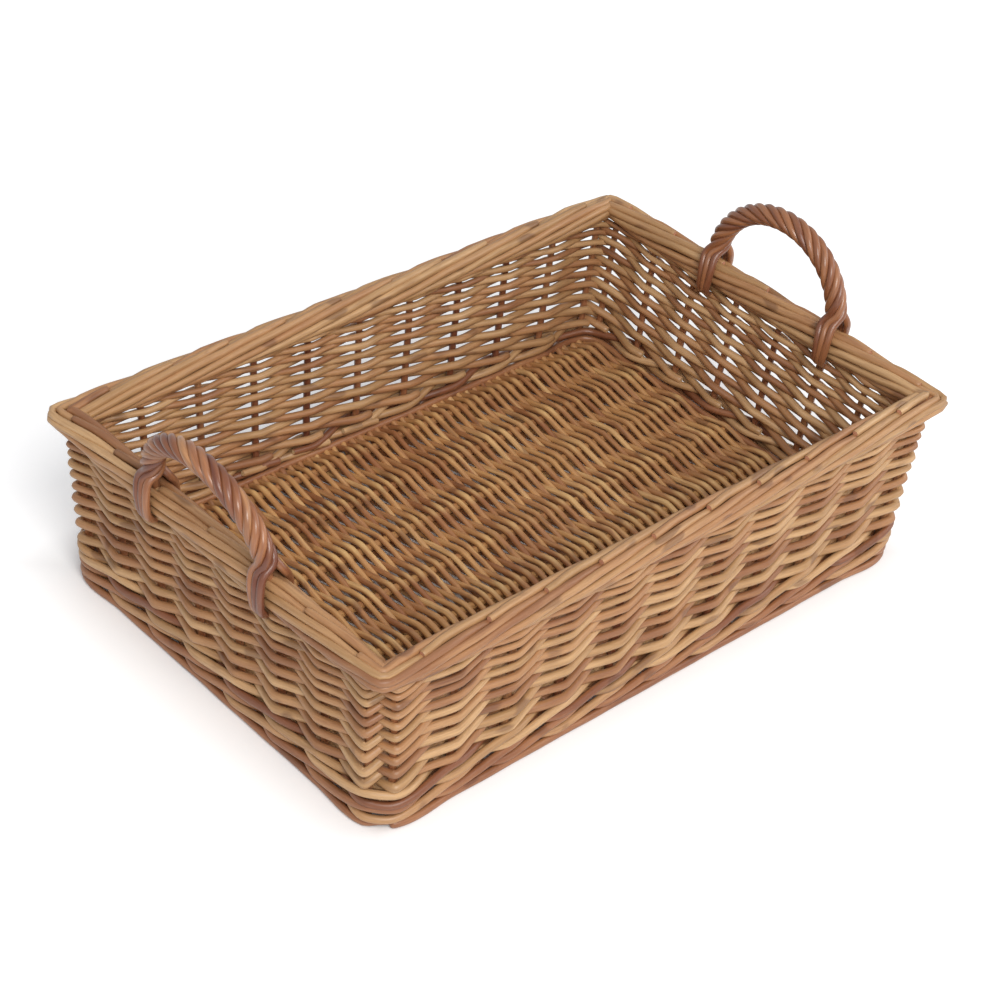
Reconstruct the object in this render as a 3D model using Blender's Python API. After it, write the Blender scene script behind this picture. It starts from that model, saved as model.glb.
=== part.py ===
"""A rectangular wicker display basket with two roped ear handles.

The long side runs along X, the short side along Y and up is +Z. The origin is at the middle of the
rectangle on which the basket stands. Stakes are numbered from the left end of the front wall, and
round the basket towards the right wall, as the weavers run.
"""

import math

import bmesh
import bpy
from mathutils import Vector

# Overall sizes in metres: the outside of the border, the outside of the foot, and the rim
TOP_LENGTH = 0.600
TOP_WIDTH = 0.396
FOOT_LENGTH = 0.566
FOOT_WIDTH = 0.378
RIM_HEIGHT = 0.164

# The gap between pieces that touch on the real basket, and the bite of pieces that grow together
CLEARANCE = 0.0003
SIDING_CLEARANCE = 0.0005
CORNER_CLEARANCE = 0.0009
BITE = 0.0009
WELD_DISTANCE = 0.00001

# Stakes: the upright rods
STAKE_DIAMETER = 0.0065
STAKE_FOOT_HEIGHT = 0.0010
LONG_WALL_STAKES = 11
SHORT_WALL_STAKES = 8
CORNER_INSET = 0.012

# Foot ring and wale: the thick rods at the bottom of the walls
FOOT_RING_WIDTH = 0.0050
FOOT_RING_HEIGHT = 0.0055
WALE_DIAMETER = 0.0046
WALE_RODS = 3
WALE_END_STOPS = 1
WALE_ROUNDS = 2

# Siding: slanting weavers, thick at the bottom and thin at the top
SIDING_STEP = 0.0057
SIDING_TOP_STEP_SHARE = 0.583
SIDING_FOOT_RISE = 0.0035
SIDING_HEADROOM = 0.0057
SIDING_ROD_GAP = 0.0006
SIDING_TAIL = 0.0045
SIDING_SECTION_WIDTH_SHARE = 1.1

# Border: the bundle of rods round the rim, and the cut rod ends that lie on it
BORDER_WIDTH = 0.0240
BORDER_HEIGHT = 0.0265
BORDER_ROUNDS = 6
BORDER_GROOVE_DEPTH = 0.0016
STUB_DIAMETER = 0.0070
STUB_INSET = 0.0145
STUB_SLANT = 0.0030
STUB_STAND_OUT = 0.0022

# Base: sticks along the length and one weaver that goes back and forth over and under them
BASE_STICK_DIAMETER = 0.0076
BASE_STICKS = 7
BASE_WEAVER_WIDTH = 0.0090
BASE_WEAVER_THICKNESS = 0.0044
BASE_WEAVER_PASSES = 50
BASE_TURN_LENGTH = 0.0175
BASE_END_INSET = 0.0080

# Handles: a bow at each end, wound with rods in a rope lay
BOW_RADIUS = 0.066
BOW_CENTRE_RISE = 0.003
BOW_LEG_BOTTOM = 0.058
BOW_STEPS = 12
ROPE_ROD_DIAMETER = 0.0042
ROPE_RODS = 3
ROPE_HALF_TURNS = 8
ROPE_STEPS_PER_TURN = 6
ROPE_TUCK_DROP = 0.0163
ROPE_LASH_GAP = 0.0006
ROPE_SEAT = 0.0009
HANDLE_STAKES = (2, 5)

# How square the border's bundle is: 2 would be an oval
BLOCK_POWER = 3

# Sides of the section of each kind of rod
ROUND_SIDES = 6
SQUARE_SIDES = 4
THREE_SIDES = 3

# Colours: red, green, blue from 0 to 1, and roughness
BUFF_WILLOW = (0.46, 0.29, 0.14), 0.55
DARK_WILLOW = (0.33, 0.17, 0.075), 0.50
GOLDEN_WILLOW = (0.42, 0.26, 0.11), 0.55
REDDISH_WILLOW = (0.36, 0.15, 0.06), 0.40

# How high a wale rod lies in its round, behind a stake and in front of the next two
WALE_LEVEL_SHARES = (0.75, 0.0, 1.0)

WALLS = ("front", "right", "rear", "left")
LONG_WALLS = ("front", "rear")
ALONG = {"front": (1, 0), "right": (0, 1), "rear": (-1, 0), "left": (0, -1)}
OUTWARD = {"front": (0, -1), "right": (1, 0), "rear": (0, 1), "left": (-1, 0)}
STAKES = {
    "front": LONG_WALL_STAKES,
    "right": SHORT_WALL_STAKES,
    "rear": LONG_WALL_STAKES,
    "left": SHORT_WALL_STAKES,
}

# Sizes that follow from those above
STAKE_RADIUS = STAKE_DIAMETER / 2
BORDER_TOP = RIM_HEIGHT - STUB_STAND_OUT
BORDER_BOTTOM = BORDER_TOP - BORDER_HEIGHT
BORDER_MIDDLE = (BORDER_BOTTOM + BORDER_TOP) / 2
BORDER_OUTREACH = BORDER_WIDTH / 2
FOOT_RING_OFFSET = STAKE_RADIUS + CLEARANCE + FOOT_RING_WIDTH / 2
FOOT_OUTREACH = FOOT_RING_OFFSET + FOOT_RING_WIDTH / 2
WALE_OFFSET = STAKE_RADIUS + CLEARANCE + WALE_DIAMETER / 2
WALE_STROKE_DROP = 2 * (WALE_DIAMETER + CLEARANCE)
WALE_ROUND_HEIGHT = WALE_STROKE_DROP + WALE_DIAMETER + CLEARANCE
WALE_LOWEST = FOOT_RING_HEIGHT + CLEARANCE + WALE_DIAMETER / 2
WALE_INNER_TOP = WALE_LOWEST + WALE_STROKE_DROP * WALE_LEVEL_SHARES[0] + WALE_DIAMETER / 2
WALE_TOP = WALE_LOWEST + WALE_ROUND_HEIGHT * WALE_ROUNDS - CLEARANCE - WALE_DIAMETER / 2
SIDING_LOWEST = WALE_TOP + SIDING_FOOT_RISE
SIDING_HIGHEST = BORDER_BOTTOM - SIDING_HEADROOM
SIDING_HALF_ROUNDS = 2 * round((SIDING_HIGHEST - SIDING_LOWEST) / SIDING_STEP / 2)
SIDING_MEAN_STEP = (SIDING_HIGHEST - SIDING_LOWEST) / SIDING_HALF_ROUNDS
SIDING_BOTTOM_STEP = 2 * SIDING_MEAN_STEP / (1 + SIDING_TOP_STEP_SHARE)
SIDING_TOP_STEP = SIDING_BOTTOM_STEP * SIDING_TOP_STEP_SHARE
BOW_CENTRE_HEIGHT = RIM_HEIGHT + BOW_CENTRE_RISE
ROPE_TUCK_HEIGHT = BORDER_BOTTOM - ROPE_TUCK_DROP
BASE_HEIGHT = WALE_INNER_TOP + CLEARANCE + BASE_WEAVER_THICKNESS / 2
ROPE_RADIUS = ROPE_ROD_DIAMETER / 2
ROPE_CENTRE_RADIUS = (STAKE_RADIUS + ROPE_SEAT + ROPE_RADIUS) / math.cos(
    math.pi / ROPE_STEPS_PER_TURN
)


def half_sizes(height):
    """Half the length and half the width between the stakes' centres, at a height."""
    share = height / BORDER_MIDDLE
    foot = Vector((FOOT_LENGTH / 2 - FOOT_OUTREACH, FOOT_WIDTH / 2 - FOOT_OUTREACH))
    rim = Vector((TOP_LENGTH / 2 - BORDER_OUTREACH, TOP_WIDTH / 2 - BORDER_OUTREACH))
    return foot.lerp(rim, share)


def lean(wall):
    """How far a wall leans outwards for each unit of height."""
    foot, rim = half_sizes(0), half_sizes(BORDER_MIDDLE)
    run = rim.y - foot.y if wall in LONG_WALLS else rim.x - foot.x
    return run / BORDER_MIDDLE


def wall_point(wall, share, height, outward, sideways=0):
    """A point on a wall: share runs from -1 at its first stake to 1 at its last one."""
    half_length, half_width = half_sizes(height)
    along = Vector(ALONG[wall])
    out = Vector(OUTWARD[wall])
    reach, depth = (half_length, half_width) if wall in LONG_WALLS else (half_width, half_length)
    flat = along * (share * (reach - CORNER_INSET) + sideways) + out * (depth + outward)
    return Vector((flat.x, flat.y, height))


def corner_point(wall, end, height, outward):
    """A point beside a corner stake, moved along so that a rod keeps its distance round the corner."""
    return wall_point(wall, end, height, outward, end * outward * math.tan(math.pi / 8))


def stake_share(wall, number):
    """Where a wall's stake stands, as a share from -1 to 1."""
    return 2 * number / (STAKES[wall] - 1) - 1


def stops():
    """The stakes that rods go round, one by one round the basket: two at a corner count as one."""
    found = []
    for wall, beyond in zip(WALLS, WALLS[1:] + WALLS[:1]):
        found += [[(wall, number)] for number in range(1, STAKES[wall] - 1)]
        found.append([(wall, STAKES[wall] - 1), (beyond, 0)])
    return found


def material(name, colour, roughness):
    made = bpy.data.materials.new(name)
    made.use_nodes = True
    shader = made.node_tree.nodes["Principled BSDF"]
    shader.inputs["Base Color"].default_value = (*colour, 1)
    shader.inputs["Roughness"].default_value = roughness
    shader.inputs["Metallic"].default_value = 0
    made.diffuse_color = (*colour, 1)
    return made


def new_collection(name):
    made = bpy.data.collections.new(name)
    bpy.context.scene.collection.children.link(made)
    return made


def outline_curve(name, corners):
    """A closed outline, clockwise, which a rod's curve carries along its length."""
    data = bpy.data.curves.new(name, "CURVE")
    data.dimensions = "2D"
    spline = data.splines.new("POLY")
    spline.points.add(len(corners) - 1)
    for point, (across, up) in zip(spline.points, corners):
        point.co = (across, up, 0, 1)
    spline.use_cyclic_u = True
    made = bpy.data.objects.new(name, data)
    made.hide_render = True
    made.display_type = "WIRE"
    guides.objects.link(made)
    return made


def section(name, width, thickness, sides):
    """An outline of few sides: three stand on a flat side, four lie square and six on a point."""
    turn = {THREE_SIDES: math.pi / 2, SQUARE_SIDES: math.pi / 4, ROUND_SIDES: math.pi / 2}[sides]
    angles = [turn - 2 * math.pi * corner / sides for corner in range(sides)]
    reach_across = max(abs(math.cos(angle)) for angle in angles)
    lowest = min(math.sin(angle) for angle in angles)
    highest = max(math.sin(angle) for angle in angles)
    corners = []
    for angle in angles:
        across = math.cos(angle) / reach_across * width / 2
        up = ((math.sin(angle) - lowest) / (highest - lowest) - 0.5) * thickness
        corners.append((across, up))
    return outline_curve(name, corners)


def rods(name, paths, look, diameter=1.0, sides=SQUARE_SIDES, outline=None, cyclic=False, twist="Z_UP"):
    """One curve object with a rod along each path.

    A path is a list of points, or of pairs of a point and the rod's thickness there. With an outline
    the rod's section is that outline, scaled by the thickness.
    """
    data = bpy.data.curves.new(name, "CURVE")
    data.dimensions = "3D"
    data.twist_mode = twist
    data.use_fill_caps = True
    if outline:
        data.bevel_mode = "OBJECT"
        data.bevel_object = outline
    else:
        data.bevel_depth = diameter / 2
        data.bevel_resolution = (sides - SQUARE_SIDES) // 2
    for path in paths:
        spline = data.splines.new("POLY")
        spline.points.add(len(path) - 1)
        for point, place in zip(spline.points, path):
            place, thickness = place if isinstance(place, tuple) else (place, 1.0)
            point.co = (*place, 1)
            point.radius = thickness
        spline.use_cyclic_u = cyclic
        spline.use_smooth = sides > SQUARE_SIDES
    made = bpy.data.objects.new(name, data)
    made.data.materials.append(look)
    basket.objects.link(made)
    return made


def as_mesh(curve):
    """The curve's rods as a mesh object of the same name, with their caps welded on."""
    graph = bpy.context.evaluated_depsgraph_get()
    data = bpy.data.meshes.new_from_object(curve.evaluated_get(graph))
    name = curve.name
    place = curve.matrix_world.copy()
    look = curve.data.materials[0]
    bpy.data.objects.remove(curve)
    work = bmesh.new()
    work.from_mesh(data)
    bmesh.ops.remove_doubles(work, verts=work.verts, dist=WELD_DISTANCE)
    work.to_mesh(data)
    work.free()
    data.materials.clear()
    data.materials.append(look)
    made = bpy.data.objects.new(name, data)
    made.matrix_world = place
    basket.objects.link(made)
    return made


def use_as_tool(whole, piece, operation):
    basket.objects.unlink(piece)
    guides.objects.link(piece)
    piece.hide_render = True
    piece.display_type = "WIRE"
    step = whole.modifiers.new(piece.name, "BOOLEAN")
    step.operation = operation
    step.object = piece


def grown_together(pieces):
    """Joins mesh objects that bite into each other into the first of them."""
    for piece in pieces[1:]:
        use_as_tool(pieces[0], piece, "UNION")
    return pieces[0]


def cut_with(whole, cutter):
    use_as_tool(whole, cutter, "DIFFERENCE")


def stake_point(wall, number, height, outward, sideways=0):
    """A point beside a stake."""
    share = stake_share(wall, number)
    if number in (0, STAKES[wall] - 1) and not sideways:
        return corner_point(wall, round(share), height, outward)
    return wall_point(wall, share, height, outward, sideways)


def is_middle(wall, number):
    """Whether this is the middle stake of a wall, which carries the siding's weavers."""
    return number == STAKES[wall] // 2


def stake_path(wall, number):
    """The middle line of a stake, from the foot to the underside of the border or to a bow's end."""
    top = BORDER_BOTTOM - CLEARANCE
    if wall in ("left", "right") and number in HANDLE_STAKES:
        top = BOW_LEG_BOTTOM - CLEARANCE
    share = stake_share(wall, number)
    return [wall_point(wall, share, height, 0) for height in (STAKE_FOOT_HEIGHT, top)]


def make_stakes(wall):
    for number in range(STAKES[wall]):
        if is_middle(wall, number):
            continue
        path = stake_path(wall, number)
        rods(f"{wall}_stake_{number + 1}", [path], buff, STAKE_DIAMETER, ROUND_SIDES)


def siding_height(half_rounds):
    """How high a weaver stands after this many half rounds: the steps shrink as the rods taper."""
    shrink = (SIDING_BOTTOM_STEP - SIDING_TOP_STEP) / (2 * SIDING_HALF_ROUNDS)
    return SIDING_LOWEST + SIDING_BOTTOM_STEP * half_rounds - shrink * half_rounds**2


def siding_thickness(half_rounds):
    share = half_rounds / SIDING_HALF_ROUNDS
    step = SIDING_BOTTOM_STEP + (SIDING_TOP_STEP - SIDING_BOTTOM_STEP) * share
    return step - SIDING_ROD_GAP


def grows_on(start, stop):
    """Whether a weaver bites into a stake: it does so at the first middle stake that it meets.

    A weaver that starts at a middle stake bites into the next one too, which joins them all.
    """
    met = [is_middle(*stops()[place % len(stops())][0]) for place in range(start, stop + 1)]
    return met[-1] and (sum(met) == 1 or sum(met) == 2 and met[0])


def weaver_places(start, stop, sideways=0):
    """Where the weaver that starts at one stop passes another, and how thick it is there.

    Its butt lies inside the basket. It then goes in front of one stake and behind the next, half a
    round higher at each.
    """
    half_rounds = stop - start
    thickness = siding_thickness(half_rounds)
    stakes = stops()[stop % len(stops())]
    seat = SIDING_CLEARANCE if len(stakes) == 1 else CORNER_CLEARANCE
    if grows_on(start, stop):
        seat = -BITE
    side = 1 if half_rounds % 2 else -1
    reach = side * (STAKE_RADIUS + seat + thickness * SIDING_SECTION_WIDTH_SHARE / 2)
    height = siding_height(half_rounds)
    places = []
    for stake in stakes:
        outward = reach - lean(stake[0]) * thickness / 2
        places.append((stake_point(*stake, height, outward, sideways), thickness))
    return places


def corner_plane(wall, end):
    """A point on the plane that halves a corner, and its direction away from this wall."""
    beyond = WALLS[(WALLS.index(wall) + end) % len(WALLS)]
    corner_posts = (wall, end), (beyond, -end)
    posts = [[wall_point(*post, height, 0) for height in (0, RIM_HEIGHT)] for post in corner_posts]
    foot, rim = ((near + far) / 2 for near, far in zip(*posts))
    level = posts[1][0] - posts[0][0]
    away = (rim - foot).cross(level.cross(Vector((0, 0, 1)))).normalized()
    return foot, away * math.copysign(1, away.dot(level))


def cut_at_corners(made, wall):
    """Cuts a wall's rods flat in the planes that halve its two corners."""
    work = bmesh.new()
    work.from_mesh(made.data)
    for end in (-1, 1):
        place, away = corner_plane(wall, end)
        everything = [*work.verts, *work.edges, *work.faces]
        place = place - away * CLEARANCE / 2
        bmesh.ops.bisect_plane(work, geom=everything, plane_co=place, plane_no=away, clear_outer=True)
        open_edges = [edge for edge in work.edges if edge.is_boundary]
        bmesh.ops.holes_fill(work, edges=open_edges)
    work.to_mesh(made.data)
    work.free()


def weaver_path(start):
    """A weaver from its butt, inside the basket beside its first stake, to its tip."""
    path = weaver_places(start, start, -SIDING_TAIL)[:1]
    for stop in range(start, start + SIDING_HALF_ROUNDS + 1):
        path += weaver_places(start, stop)
    return path


def middle_stakes():
    """The stakes that carry the siding, each with an edge towards the weavers on its two sides."""
    paths = [stake_path(wall, STAKES[wall] // 2) for wall in WALLS]
    width = STAKE_DIAMETER * math.cos(math.pi / ROUND_SIDES)
    outline = section("middle_stake_section", width, STAKE_DIAMETER, ROUND_SIDES)
    return as_mesh(rods("middle_stakes", paths, buff, outline=outline))


def make_siding():
    """A slanting weaver for each stop, all carried by the middle stakes of the walls."""
    paths = [weaver_path(start) for start in range(len(stops()))]
    outline = section("siding_section", SIDING_SECTION_WIDTH_SHARE, 1.0, THREE_SIDES)
    weavers = as_mesh(rods("siding", paths, buff, outline=outline))
    return grown_together([weavers, middle_stakes()])


def make_foot_ring():
    """The lowest rod, flat underneath, all round the outside of the stakes."""
    outline = section("foot_ring_section", FOOT_RING_WIDTH, FOOT_RING_HEIGHT, SQUARE_SIDES)
    path = [
        corner_point(wall, end, FOOT_RING_HEIGHT / 2, FOOT_RING_OFFSET)
        for wall in WALLS
        for end in (-1, 1)
    ]
    rods("foot_ring", [path], reddish, outline=outline, cyclic=True)


def make_wale():
    """Rounds of rods that pass in front of two stakes, rising from one to the next, and behind one.

    The rods of a round follow each other, so that one long rod makes each round.
    """
    outline = section("wale_section", WALE_DIAMETER, WALE_DIAMETER, THREE_SIDES)
    for turn in range(WALE_ROUNDS):
        path = []
        for step in range(WALE_RODS * len(stops()) - WALE_END_STOPS):
            phase = step % WALE_RODS
            height = WALE_LOWEST + WALE_ROUND_HEIGHT * turn + WALE_STROKE_DROP * WALE_LEVEL_SHARES[phase]
            outward = -WALE_OFFSET if phase == 0 else WALE_OFFSET
            for stake in stops()[step % len(stops())]:
                path.append(stake_point(*stake, height, outward))
        rods(f"wale_rod_{turn + 1}", [path], reddish, outline=outline)


def border_section():
    """The outline of the bundle: a rounded block with a groove between each rod and the next."""
    corners = []
    for step in range(2 * BORDER_ROUNDS):
        angle = -math.pi * (step + 0.5) / BORDER_ROUNDS
        across, up = math.cos(angle), math.sin(angle)
        block = (abs(across) ** BLOCK_POWER + abs(up) ** BLOCK_POWER) ** (-1 / BLOCK_POWER)
        depth = BORDER_GROOVE_DEPTH if step % 2 else 0
        reach = block * (BORDER_WIDTH / 2 - depth), block * (BORDER_HEIGHT / 2 - depth)
        corners.append((across * reach[0], up * reach[1]))
    return corners


def stub_path(wall, number):
    """The end of a border rod, cut off on top of the border between two stakes."""
    height = RIM_HEIGHT - STUB_DIAMETER / 2
    near = wall_point(wall, stake_share(wall, number), height, -STUB_SLANT, STUB_INSET)
    far = wall_point(wall, stake_share(wall, number + 1), height, STUB_SLANT, -STUB_INSET)
    return [near, far]


def make_border(wall):
    """The bundle of rods along a wall's rim, with the stubs on it and holes for the bow's legs."""
    before = wall_point(WALLS[WALLS.index(wall) - 1], 1, BORDER_MIDDLE, 0)
    beyond = wall_point(WALLS[(WALLS.index(wall) + 1) % len(WALLS)], -1, BORDER_MIDDLE, 0)
    start, end = (wall_point(wall, side, BORDER_MIDDLE, 0) for side in (-1, 1))
    straight = [wall_point(wall, side, BORDER_MIDDLE, 0, -side * BORDER_OUTREACH) for side in (-1, 1)]
    path = [before, start, *straight, end, beyond]
    outline = outline_curve(f"{wall}_border_section", border_section())
    bundle = as_mesh(rods(f"{wall}_border", [path], buff, outline=outline))
    cut_at_corners(bundle, wall)
    stubs = [stub_path(wall, number) for number in range(STAKES[wall] - 1)]
    ends = as_mesh(rods(f"{wall}_border_stubs", stubs, buff, STUB_DIAMETER))
    whole = grown_together([bundle, ends])
    if wall not in LONG_WALLS:
        width = STAKE_DIAMETER + 2 * CLEARANCE
        hole = as_mesh(rods(f"{wall}_bow_hole", [bow_path(wall)], dark, width, ROUND_SIDES, twist="MINIMUM"))
        cut_with(whole, hole)
    return whole


def base_reach():
    """Half the clear length between the wale's inner strokes, at the base's height."""
    return half_sizes(BASE_HEIGHT)[0] - WALE_OFFSET - WALE_DIAMETER / 2 - CLEARANCE


def base_turn():
    """Half the width between the base weaver's turns, which rest on the wale's inner strokes."""
    return half_sizes(BASE_HEIGHT)[1] - STAKE_RADIUS - CLEARANCE - BASE_WEAVER_WIDTH / 2


def base_stick_place(number):
    """How far from the middle a stick lies: the outer two are the edges that the weaver turns round."""
    return (base_turn() - BASE_TURN_LENGTH) * (2 * number / (BASE_STICKS - 1) - 1)


def make_base_sticks():
    reach = base_reach()
    for number in range(BASE_STICKS):
        place = base_stick_place(number)
        path = [Vector((side * reach, place, BASE_HEIGHT)) for side in (-1, 1)]
        rods(f"base_stick_{number + 1}", [path], golden, BASE_STICK_DIAMETER, ROUND_SIDES)


def base_pass(number):
    """One pass of the weaver across the base, over and under the sticks, with a turn at each end."""
    end = base_reach() - BASE_END_INSET - BASE_WEAVER_WIDTH / 2
    across = end * (2 * number / (BASE_WEAVER_PASSES - 1) - 1)
    turn = base_turn()
    lift = BASE_STICK_DIAMETER / 2 + CLEARANCE + BASE_WEAVER_THICKNESS / 2
    path = [Vector((across, -turn, BASE_HEIGHT))]
    for stick in range(BASE_STICKS):
        side = 1 if (stick + number) % 2 else -1
        path.append(Vector((across, base_stick_place(stick), BASE_HEIGHT + side * lift)))
    path.append(Vector((across, turn, BASE_HEIGHT)))
    return path if number % 2 == 0 else path[::-1]


def make_base_weaver():
    outline = section("base_weaver_section", BASE_WEAVER_WIDTH, BASE_WEAVER_THICKNESS, THREE_SIDES)
    path = [point for number in range(BASE_WEAVER_PASSES) for point in base_pass(number)]
    rods("base_weaver", [path], golden, outline=outline)


def bow_point(wall, share, outward=0, sideways=0, lift=0):
    """A point on a handle's arch: share runs from 0 at its left foot to 1 at its right foot."""
    angle = math.pi * share
    height = BOW_CENTRE_HEIGHT + BOW_RADIUS * math.sin(angle) + lift
    return wall_point(wall, 0, height, outward, sideways - BOW_RADIUS * math.cos(angle))


def bow_path(wall):
    """Up from beside the foot in the place of a stake, over the arch and down again."""
    left, right = (stake_share(wall, number) for number in HANDLE_STAKES)
    heights = (BOW_LEG_BOTTOM, BORDER_BOTTOM)
    path = [wall_point(wall, left, height, 0) for height in heights]
    path += [bow_point(wall, step / BOW_STEPS) for step in range(BOW_STEPS + 1)]
    path += [wall_point(wall, right, height, 0) for height in reversed(heights)]
    return path


def make_bow(wall):
    name = f"{wall}_handle_bow"
    rods(name, [bow_path(wall)], dark, STAKE_DIAMETER, ROUND_SIDES, twist="MINIMUM")


def rope_point(wall, share, phase):
    """A point of a rope rod: it winds round the bow, outwards when the sine of its angle is positive."""
    angle = phase + math.pi * ROPE_HALF_TURNS * share
    radial = ROPE_CENTRE_RADIUS * math.cos(angle)
    outward = ROPE_CENTRE_RADIUS * math.sin(angle)
    arch = math.pi * share
    return bow_point(wall, share, outward, -radial * math.cos(arch), radial * math.sin(arch))


def rope_winding(wall, phase):
    steps = ROPE_HALF_TURNS * ROPE_STEPS_PER_TURN // 2
    return [rope_point(wall, step / steps, phase) for step in range(steps + 1)]


def lash_places(foot):
    """How far beside a bow's leg each rope rod goes round the border."""
    near = STAKE_RADIUS + CLEARANCE + ROPE_RADIUS
    far = near + ROPE_ROD_DIAMETER + ROPE_LASH_GAP
    if foot == 0:
        return -far, -near, near
    return (-near, near, far) if ROPE_HALF_TURNS % 2 else (far, near, -near)


def lash(wall, foot, rod, side, winding_end):
    """From a rope rod's winding over the border's shoulder, down to the height of its lowest rod."""
    leg = stake_share(wall, HANDLE_STAKES[foot])
    reach = BORDER_OUTREACH + CLEARANCE + ROPE_RADIUS
    sideways = lash_places(foot)[rod]
    face = [
        wall_point(wall, leg, height, side * reach, sideways)
        for height in (BORDER_TOP - BORDER_HEIGHT / 4, BORDER_BOTTOM - CLEARANCE - ROPE_RADIUS)
    ]
    shoulder_reach = BORDER_OUTREACH - ROPE_RADIUS / 4
    shoulder_height = BORDER_TOP + CLEARANCE + ROPE_RADIUS
    beside = wall_point(wall, leg, shoulder_height, side * shoulder_reach, sideways)
    shoulder = (beside + Vector((winding_end.x, winding_end.y, beside.z))) / 2
    outward = Vector((*OUTWARD[wall], 0)) * side
    shoulder += outward * ((beside - shoulder).dot(outward))
    return [shoulder, *face]


def tuck(wall, foot, rod, side):
    """The end of a rope rod, tucked against the siding under the border."""
    leg = stake_share(wall, HANDLE_STAKES[foot])
    reach = STAKE_RADIUS + 2 * CLEARANCE + siding_thickness(SIDING_HALF_ROUNDS - 4) + ROPE_RADIUS
    return wall_point(wall, leg, ROPE_TUCK_HEIGHT, side * reach, lash_places(foot)[rod])


def make_rope(wall):
    """Rope rods that wind to the right foot, go round the border there, and wind back between."""
    side = -1 if ROPE_HALF_TURNS % 2 else 1
    for rod in range(ROPE_RODS):
        phase = math.pi * (2 * rod + 1) / (2 * ROPE_RODS)
        back_phase = 2 * math.pi - phase
        out = rope_winding(wall, phase)
        back = rope_winding(wall, back_phase)[::-1]
        path = [tuck(wall, 0, rod, 1)]
        path += lash(wall, 0, rod, 1, out[0])[::-1]
        path += out
        path += lash(wall, 1, rod, side, out[-1])
        path += lash(wall, 1, rod, -side, back[0])[::-1]
        path += back
        path += lash(wall, 0, rod, -1, back[-1])
        path.append(tuck(wall, 0, rod, -1))
        name = f"{wall}_handle_rope_rod_{rod + 1}"
        rods(name, [path], dark, ROPE_ROD_DIAMETER, twist="MINIMUM")


for old in list(bpy.data.objects):
    bpy.data.objects.remove(old)

basket = new_collection("wicker_display_basket")
guides = new_collection("sections_and_joined_rods")
buff = material("buff_willow", *BUFF_WILLOW)
dark = material("dark_willow", *DARK_WILLOW)
golden = material("golden_willow", *GOLDEN_WILLOW)
reddish = material("reddish_willow", *REDDISH_WILLOW)

make_foot_ring()
make_wale()
make_base_sticks()
make_base_weaver()
make_siding()
for side in WALLS:
    make_stakes(side)
    make_border(side)
for side in ("left", "right"):
    make_bow(side)
    make_rope(side)
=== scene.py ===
"""Dresses the wicker display basket: every willow rod is made as its own round rod.

Lengths are in metres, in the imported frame: X along the basket, Y across it, Z up. Posts are the
stakes, counted round the basket from the left end of the front wall towards the right wall. A
hug is how far a rod keeps along the wall at a post. A wander is how far a rod strays sideways and
the length of its waves. Samples are the points on a middle line from one knot to the next.
"""

import bpy
import numpy as np
from mathutils import Matrix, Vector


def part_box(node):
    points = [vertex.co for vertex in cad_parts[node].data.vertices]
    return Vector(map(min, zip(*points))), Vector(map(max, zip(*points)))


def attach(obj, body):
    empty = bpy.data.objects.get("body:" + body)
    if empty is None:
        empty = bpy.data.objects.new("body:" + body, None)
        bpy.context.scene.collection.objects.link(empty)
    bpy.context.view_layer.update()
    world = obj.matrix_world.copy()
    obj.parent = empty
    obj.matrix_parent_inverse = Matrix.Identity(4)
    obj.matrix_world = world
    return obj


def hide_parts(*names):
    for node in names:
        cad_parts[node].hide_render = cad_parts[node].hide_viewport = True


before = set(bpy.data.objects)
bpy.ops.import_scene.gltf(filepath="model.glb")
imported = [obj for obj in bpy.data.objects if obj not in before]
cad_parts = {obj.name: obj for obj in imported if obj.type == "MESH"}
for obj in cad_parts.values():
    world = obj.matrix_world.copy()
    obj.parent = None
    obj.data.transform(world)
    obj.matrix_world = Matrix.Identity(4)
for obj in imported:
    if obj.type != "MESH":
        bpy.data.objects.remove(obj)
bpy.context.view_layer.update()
chance = np.random.default_rng(38)

UP = np.array((0.0, 0.0, 1.0))

# Half sizes over the foot rod and over the rim, to the nearest millimetre, and the rim's height
FOOT_HALF = np.round(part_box("foot_ring")[1][:2], 3)
RIM_HALF = np.round((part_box("right_border")[1].x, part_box("rear_border")[1].y), 3)
RIM_HEIGHT = round(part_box("rear_border")[1].z, 3)

# The walls between the middles of the posts, at the ground and at the middle of the border
FOOT_TO_POST = 0.00855
RIM_TO_POST = 0.0120
RIM_ABOVE_MIDDLE = 0.01545
GROUND_HALF = FOOT_HALF - FOOT_TO_POST
BORDER_HALF = RIM_HALF - RIM_TO_POST
BORDER_MIDDLE = RIM_HEIGHT - RIM_ABOVE_MIDDLE
CORNER_INSET = 0.012
POST_RADIUS = 0.0032
HALFWAY_UP = 0.08

# Each wall: its direction of travel, its outward direction and its number of posts
WALLS = (
    ((1, 0), (0, -1), 11),
    ((0, 1), (1, 0), 8),
    ((-1, 0), (0, 1), 11),
    ((0, -1), (-1, 0), 8),
)

# A wander's three waves, as shares of its length
WANDER_WAVES = (0.6, 1.15, 1.7)

# The rings at a rod's ends: how far they stand out and how wide they are, as shares of its radius
END_REACH = 0.15
END_WIDTH = 0.86

# Sides of a thick rod's section
THICK_SIDES = 10


# The walls' shape


def unit(vectors):
    return vectors / np.linalg.norm(vectors, axis=-1, keepdims=True)


def post_table():
    """For each post, its place as shares of the walls' half sizes and of the corner inset."""
    reaches, insets = [], []
    for along, out, count in WALLS:
        for share in np.linspace(-1, 1, count):
            insets.append(np.array(along) * share)
            reaches.append(np.array(along) * share + np.array(out))
    return np.array(reaches), np.array(insets)


POST_REACH, POST_INSET = post_table()
POSTS = len(POST_REACH)


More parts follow.
